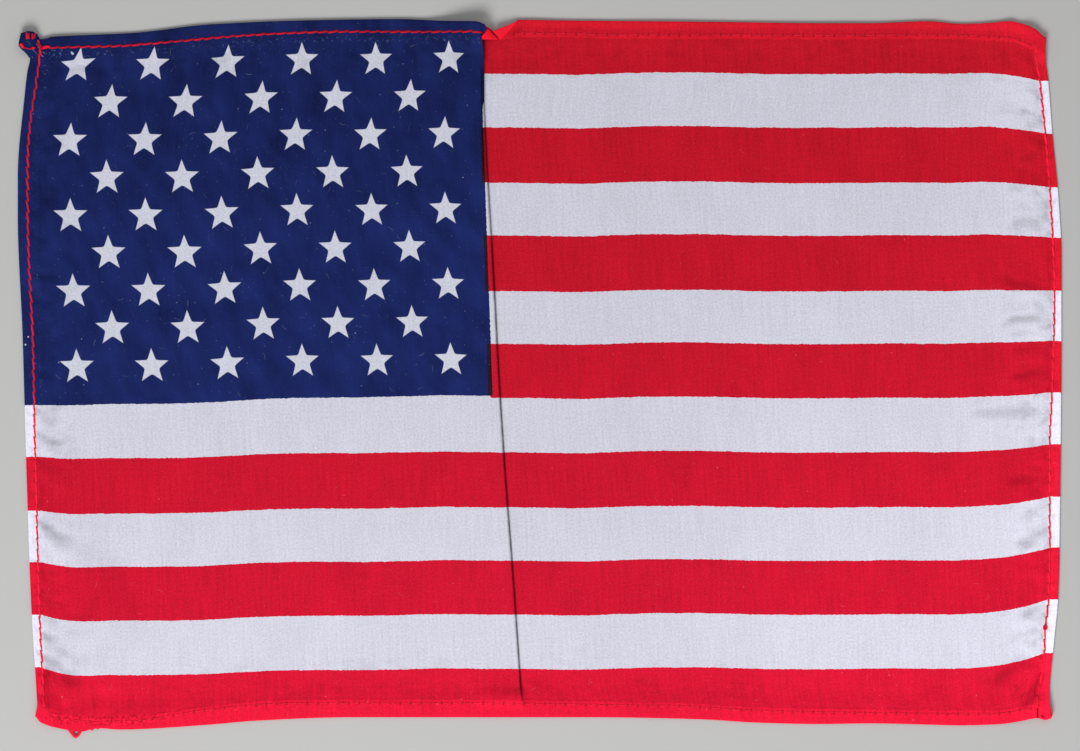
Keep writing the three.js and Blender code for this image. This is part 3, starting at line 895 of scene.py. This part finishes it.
    # Weave and sewing
    turns = 2 * math.pi
    weave = g.math("SINE", place * (turns / WEAVE_PITCH)) * g.math("SINE", level * (turns / WEAVE_PITCH))
    # Painted shade in the needle holes, besides their bump
    hole = g.band(g.math("FRACT", run) - 0.5, 0.14, 0.03) * g.band(seam - 0.02, 0.36, 0.14)
    hole = hole * g.ramp(g.noise(at, 1.3, 1.0), 0.3, 0.6, 0.45, 1.0) * clear
    # Every other stitch pulls a short slanted dimple into the cloth beside it, with painted shade in it
    slanted = g.math("FRACT", (run + seam * 0.5) * 0.5)
    dimples = g.band(slanted - 0.5, 0.3, 0.05) * g.band(seam, 1.25, 0.45) * g.band(seam, 0.02, 0.2)
    dimples = dimples * g.ramp(g.noise(g.vector(place, level, 5.0), 0.9), 0.36, 0.62)
    dimples = dimples * (1 - g.most(top, bottom) * 0.75) * clear
    # Small puffs between the stitches, painted lighter and darker besides their bump
    puffs = g.math("COSINE", (run + seam * 0.3) * turns) * g.band(seam + 0.5, 1.1, 0.3)
    puffs = puffs * g.ramp(g.noise(at, 0.6, 1.0), 0.3, 0.7) * clear
    # The bottom seam is frayed towards the hoist
    frayed = bottom * g.ramp(x, -53.0, -58.0) * g.band(seam - 0.1, 1.0, 0.5)
    # Painted shade along fine wrinkles that spread from the pinched lower corners, and a painted shadow in
    # the one that has split
    wrinkled = g.most(wrinkles(g, x, y, HOIST_PINCH), wrinkles(g, x, y, FLY_PINCH))
    split = g.band(x - SPLIT[0], 0.17, 0.07) * g.ramp(y, SPLIT[1], SPLIT[1] - 0.4)
    shade = 1 + weave * 0.014 + puffs * 0.03 - hole * 0.38 - dimples * 0.16 - painted_fold_shade - blotched_near_seams * 0.22
    # Painted shade in the small pits at the lower fly corner
    shade = shade - wrinkled * 0.26 - split * 0.75 - dots(g, x, y, PITS) * 0.70
    shade = shade + frayed * g.centred(at, 2.2, 1.1)
    # Painted shade of the relief's troughs and creases, lighter where they carry a painted highlight
    colour = g.scaled(colour, g.most(shade, 0.05) * g.most(1 - dark * 0.22, 0.15))

    # The back shows the same print, paler
    colour = g.mix(g.ramp(side, 0.5, 0.4, 0.0, BACK_PALER), colour, WHITE)
    height = weave * 0.10 + fine * 0.4 + puffs * 0.55 - hole * 0.5 - dimples * 0.8
    return g.finish(colour, height, **CLOTH_FINISH)


def sewing_thread():
    g = Graph("sewing thread")
    along, around, tone = g.facts("spun")
    twist = g.math("SINE", around * 2.0 + along * THREAD_TWIST)
    fibre = g.centred(g.vector(along, around * 1.3), 3.0, 1.0, 3.0)
    # Painted light and shade along the twist of the plies; the fibres vary in tone at random
    shade = (1 + twist * 0.14 + fibre * 0.30) * tone
    return g.finish(g.scaled(THREAD_RED, shade), twist + fibre, **THREAD_FINISH)


cloth_material = printed_cloth()
thread_material = sewing_thread()


# The cloth piece

ATTRIBUTES = {
    "print": ("place", "level", "side"),
    "sewn": ("seam", "run", "dark"),
    "folded": ("fold", "clear", "beside"),
}
# The turned facets of hem at the notch: corners, place along the print, bulge, and darkness, below 0 for a
# painted highlight
FACETS = [
    ([(-6.95, 50.4, 1.35), (-5.75, 49.15, 0.62), (-3.1, 52.05, 0.56), (-4.9, 51.2, 1.05)], 20.0, 0.08, -1.3),
    ([(-8.52, 49.15, 1.95), (-6.1, 49.2, 0.64), (-7.6, 50.75, 1.75), (-8.52, 49.6, 2.1)], 20.0, 0.10, -1.5),
    ([(-9.3, 51.8, 2.0), (-8.75, 49.95, 2.0), (-7.75, 50.6, 2.2), (-8.1, 51.35, 2.2)], -40.0, 0.08, -0.5),
]
FACET_LEVEL = 50.0
FACET_POINTS = 9


def flap(corners, place, bulge, dark):
    """A turned facet of hem: four corners, where its print is read, how far its middle stands up, and its
    darkness, less than 0 for a painted highlight that makes it brighter."""
    a, b, c, d = (np.array(p, float) for p in corners)
    steps = np.linspace(0, 1, FACET_POINTS)
    u, v = np.meshgrid(steps, steps, indexing="ij")
    u, v = u[..., None], v[..., None]
    points = a * (1 - u) * (1 - v) + b * u * (1 - v) + c * u * v + d * (1 - u) * v
    points[..., 2] += bulge * (np.sin(math.pi * u) * np.sin(math.pi * v))[..., 0]
    same = {"seam": -1.5, "run": 0.0, "dark": dark, "fold": 9.0, "clear": 0.0, "beside": 0.0}
    facts = {key: np.full(points.shape[:2], value) for key, value in same.items()}
    facts["place"] = place + points[..., 0] * 0.2
    facts["level"] = FACET_LEVEL + points[..., 1] * 0.01
    return points, facts


def build_cloth():
    points, faces = [], []
    attributes = {name: [] for name in ATTRIBUTES}
    count = 0
    for middle, facts in [cloth_grid()] + [flap(*facet) for facet in FACETS]:
        both, shape = shell(middle, THICKNESS)
        for side in (1.0, 0.0):
            facts["side"] = np.full(middle.shape[:2], side)
            for name, keys in ATTRIBUTES.items():
                attributes[name].append(np.stack([facts[key].ravel() for key in keys], -1))
        points.append(both)
        faces.append(shape + count)
        count += len(both)
    points = np.concatenate(points)
    points[:, 2] = np.maximum(points[:, 2], LOWEST)
    attributes = {name: np.concatenate(values) for name, values in attributes.items()}
    return make_object("flag_print", points, np.concatenate(faces).tolist(), attributes, cloth_material)


cloth = build_cloth()
skin = BVHTree.FromPolygons(
    [v.co / MM for v in cloth.data.vertices], [p.vertices for p in cloth.data.polygons]
)
ABOVE = 20
BELOW = -5


def cloth_height(x, y, seen_from):
    """The height of the first cloth that is met from above it or from below it."""
    hit = skin.ray_cast(Vector((x, y, seen_from)), Vector((0, 0, -math.copysign(1, seen_from))))
    return hit[0].z if hit[0] else 0.3


# The sewing

class Thread:
    """One mesh of many lengths of thread."""

    def __init__(self):
        self.points, self.faces, self.spun = [], [], []
        self.count = 0

    def lay(self, path, width, tone=1.0, tip=0.45, fade=1.0):
        """A length of two-ply thread along a path, its ends drawn in, lighter or darker by its tone, which
        fades towards its far end."""
        path = np.array(path, float)
        ahead = np.gradient(path, axis=0)
        ahead /= np.maximum(np.linalg.norm(ahead, axis=1, keepdims=True), 1e-9)
        beside = np.cross(ahead, (0, 0, 1.0))
        beside /= np.maximum(np.linalg.norm(beside, axis=1, keepdims=True), 1e-9)
        above = np.cross(beside, ahead)
        step = np.concatenate([[0], np.cumsum(np.linalg.norm(np.diff(path, axis=0), axis=1))])
        ends = np.minimum(np.arange(len(path)), np.arange(len(path))[::-1])
        size = width / 2 * np.where(ends == 0, tip, 1.0)
        angle = np.linspace(0, 2 * math.pi, THREAD_SIDES, endpoint=False)
        ring = size[:, None] * (1 + THREAD_LOBES * np.cos(2 * angle[None, :] + THREAD_TWIST * step[:, None]))
        across = THREAD_WIDE * beside[:, None] * (ring * np.cos(angle))[..., None]
        points = path[:, None] + across + THREAD_HIGH * above[:, None] * (ring * np.sin(angle))[..., None]
        t = np.linspace(0, 1, len(path))
        # Painted shade: each length darkens towards both ends, where it dips into the needle holes, and by
        # its fade
        tones = tone * (1 + (fade - 1) * t) * (1 - 0.5 * (2 * t - 1) ** 4)
        spun = np.stack(np.broadcast_arrays(step[:, None], angle[None, :], tones[:, None]), -1)
        rings = self.count + np.arange(len(path) * THREAD_SIDES).reshape(-1, THREAD_SIDES)
        turned = np.roll(rings, -1, axis=1)
        tube = np.stack([rings[:-1], rings[1:], turned[1:], turned[:-1]], -1)
        self.faces += tube.reshape(-1, 4).tolist()
        self.faces += [rings[0].tolist(), rings[-1][::-1].tolist()]
        self.points.append(points.reshape(-1, 3))
        self.spun.append(spun.reshape(-1, 3))
        self.count += rings.size

    def piece(self, name):
        attributes = {"spun": np.concatenate(self.spun)}
        return make_object(name, np.concatenate(self.points), self.faces, attributes, thread_material)


random = np.random.default_rng(11)
CURVE_STEPS = 6


def sew(thread, seam, start, end, upright, slant, width, tone, fade, sunk):
    """A row of lockstitches along a seam, on the face and under the hem. Each one leans across the seam by
    its slant, and dips into the needle holes at its ends; a sunk one has bitten into the cloth."""
    pitch = UPRIGHT_STITCH if upright else LEVEL_STITCH
    for k in range(math.ceil(start / pitch), math.floor(end / pitch)):
        lean = slant * random.uniform(0.6, 1.3)
        slack = random.uniform(0.0, 0.03)
        size = THREAD * width * random.uniform(0.86, 1.1)
        shade = tone * random.uniform(0.82, 1.06)
        t = np.linspace(-0.1, 1.1, 10)
        run = (k + 0.5 + t) * pitch
        off = seam(run) + lean * (2 * t - 1)
        arch = np.sqrt(np.sin(math.pi * np.clip(t, 0, 1)))
        xy = np.stack([off, run] if upright else [run, off], -1)
        face, back = [], []
        for (x, y), bow in zip(xy, arch):
            face.append((x, y, cloth_height(x, y, ABOVE) + size * (0.36 * bow - sunk) + slack))
            back.append((x, y, max(cloth_height(x, y, BELOW) - THREAD * 0.35 * bow, THREAD * 0.5)))
        thread.lay(face, size, shade, 0.5, fade)
        thread.lay(back, THREAD * 0.8)


def on_cloth(points, rise):
    """Places on the cloth's face, raised by a share of the thread's width."""
    return [(x, y, cloth_height(x, y, ABOVE) + THREAD * rise) for x, y in points]


def curve(points):
    """A smooth path through points."""
    points = np.array(points, float)
    padded = np.concatenate([2 * points[:1] - points[1:2], points, 2 * points[-1:] - points[-2:-1]])
    made = []
    for i in range(1, len(padded) - 2):
        p0, p1, p2, p3 = padded[i - 1:i + 3]
        for t in np.linspace(0, 1, CURVE_STEPS, endpoint=False):
            made.append(0.5 * (2 * p1 + (p2 - p0) * t + (2 * p0 - 5 * p1 + 4 * p2 - p3) * t ** 2
                               + (3 * p1 - p0 - 3 * p2 + p3) * t ** 3))
    return made + [points[-1]]


CANTON_STITCH = -2 * UPRIGHT_STITCH  # the stitch at the foot of the canton
SEAMS = [
    # seam, start, end, upright, slant, width, tone, fade, sunk
    (hoist_seam, -50.0, CANTON_STITCH, True, -0.08, 0.76, 1.25, 1.0, 0.3),
    (hoist_seam, CANTON_STITCH, 47.5, True, -0.14, 0.76, 0.9, 1.0, 0.3),
    (fly_seam, -49.6, 48.3, True, -0.07, 0.76, 1.3, 1.0, 0.3),
    (bottom_seam, -73.6, 72.6, False, 0.05, 0.5, 1.0, 1.0, 0.5),
    (top_seam, -73.2, -8.3, False, 0.10, 0.82, 0.85, 0.55, 0.3),
    (top_seam, -5.2, 72.4, False, 0.05, 0.5, 0.85, 1.0, 0.5),
]
# The folded upper hoist corner is bound with doubled stitches
BINDING = [
    # path, width, tone
    ([(-75.24, 50.2), (-75.15, 49.7), (-75.1, 49.15)], 1.15, 1.0),
    ([(-74.95, 50.1), (-74.9, 49.6), (-74.88, 49.2)], 1.0, 0.85),
    ([(-74.39, 50.05), (-74.35, 49.6), (-74.32, 49.15)], 0.9, 0.8),
    ([(-74.0, 50.1), (-74.05, 49.7), (-74.14, 49.35)], 0.85, 0.95),
    ([(-76.05, 48.6), (-75.9, 48.25), (-75.6, 47.95)], 1.6, 1.05),
    ([(-75.65, 48.0), (-75.2, 47.85), (-74.5, 47.8), (-74.0, 47.85)], 0.7, 0.6),
    ([(-74.5, 47.9), (-74.25, 47.92), (-74.0, 47.88)], 1.0, 1.0),
    ([(-73.63, 49.15), (-73.4, 48.4), (-73.28, 47.5), (-73.1, 46.75)], 1.1, 1.0),
    ([(-73.5, 48.7), (-73.35, 47.9), (-73.2, 47.2)], 0.8, 0.8),
    ([(-73.3, 47.75), (-72.9, 47.95), (-72.4, 48.15), (-71.8, 48.15)], 1.25, 1.1),
    ([(-73.1, 48.15), (-72.7, 48.05), (-72.3, 47.9)], 0.8, 0.9),
]
KNOT = (74.1, -37.05)  # on the fly seam
KNOT_HALF = (0.2, 0.25)
# A loop pulled out of the lower hoist corner, and bits that stand past the hem beside it
PULLED = [
    # path, width
    ([(-69.3, -51.4), (-68.95, -52.2), (-68.5, -52.8), (-68.1, -53.1), (-67.7, -52.7), (-67.3, -52.1),
      (-67.0, -51.5)], 1.15),
    ([(-69.0, -51.5), (-68.75, -52.2), (-68.35, -52.75)], 1.1),
    ([(-68.4, -52.95), (-68.1, -53.15), (-67.85, -52.95)], 0.9),
    ([(-67.1, -51.7), (-66.75, -52.15), (-66.4, -51.7)], 0.8),
    ([(-66.1, -51.6), (-65.75, -52.05), (-65.4, -51.6)], 0.8),
    ([(-65.2, -51.6), (-64.9, -51.9), (-64.6, -51.6)], 0.7),
    ([(-73.75, -49.6), (-73.85, -49.95), (-73.6, -50.3)], 0.8),
]
# Fine loose turns at the lower fly corner
LOOSE = [
    [(74.6, -49.1), (74.95, -49.3), (75.1, -49.8), (74.9, -50.3), (74.4, -50.4)],
    [(74.4, -49.4), (74.8, -49.6), (74.85, -50.1), (74.4, -50.5), (73.9, -50.5)],
]


def build_thread():
    thread = Thread()
    for seam in SEAMS:
        sew(thread, *seam)
    for line, width, tone in BINDING:
        thread.lay(curve(on_cloth(line, 0.3)), THREAD * 0.85 * width, tone)
    for turn in range(3):
        angles = turn * 2.1 + np.linspace(0, 4.6, 7)
        loop = np.array(KNOT) + np.array(KNOT_HALF) * np.stack([np.cos(angles), np.sin(angles)], -1)
        thread.lay(curve(on_cloth(loop, 0.4 + 0.12 * turn)), THREAD * 0.8)
    for line, width in PULLED:
        thread.lay(curve([(x, y, 0.35) for x, y in line]), THREAD * width)
    for line in LOOSE:
        thread.lay(curve([(x, y, 0.4 + 0.1 * k) for k, (x, y) in enumerate(line)]), THREAD * 0.4)
    return thread.piece("hem_sewing")


sewing = build_thread()
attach(cloth, "root")
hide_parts("flag_cloth")
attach(sewing, "root")


# The setting

SKY = (0.98, 0.98, 1.0, 1)
SKY_STRENGTH = 0.33
FLOOR_HALF = 4000.0


def build_floor():
    corners = [(-1, -1, 0), (1, -1, 0), (1, 1, 0), (-1, 1, 0)]
    points = FLOOR_HALF * np.array(corners)
    material = Graph("pale floor").finish(FLOOR, 0.0, **FLOOR_FINISH)
    floor = make_object("floor", points, [(0, 1, 2, 3)], {}, material, smooth=False)


def area_light(name, place, size, power):
    light = bpy.data.lights.new(name, "AREA")
    light.size = size
    light.energy = power
    lamp = bpy.data.objects.new(name, light)
    lamp.location = place
    lamp.rotation_euler = (-Vector(place)).to_track_quat("-Z", "Y").to_euler()
    bpy.context.scene.collection.objects.link(lamp)


def build_camera():
    data = bpy.data.cameras.new("camera")
    data.sensor_width = SENSOR
    data.lens = SENSOR * CAMERA_HEIGHT / (PHOTO_WIDTH * PIXEL * MM)
    camera = bpy.data.objects.new("camera", data)
    across = (PHOTO_WIDTH / 2 - FLAG_MIDDLE[0]) * PIXEL * MM
    up = (FLAG_MIDDLE[1] - PHOTO_HEIGHT / 2) * PIXEL * MM
    camera.location = (across, up, CAMERA_HEIGHT)
    bpy.context.scene.collection.objects.link(camera)
    bpy.context.scene.camera = camera


build_floor()
# Places and sizes in metres, power in watts
area_light("key", (-0.14, -0.44, 0.45), 0.3, 3.35)
area_light("fill", (0.3, 0.5, 0.9), 0.8, 1.1)
build_camera()
scene = bpy.context.scene
scene.view_settings.view_transform = "Standard"
world = bpy.data.worlds.new("world")
world.use_nodes = True
sky = world.node_tree.nodes["Background"].inputs
sky["Color"].default_value = SKY
sky["Strength"].default_value = SKY_STRENGTH
scene.world = world
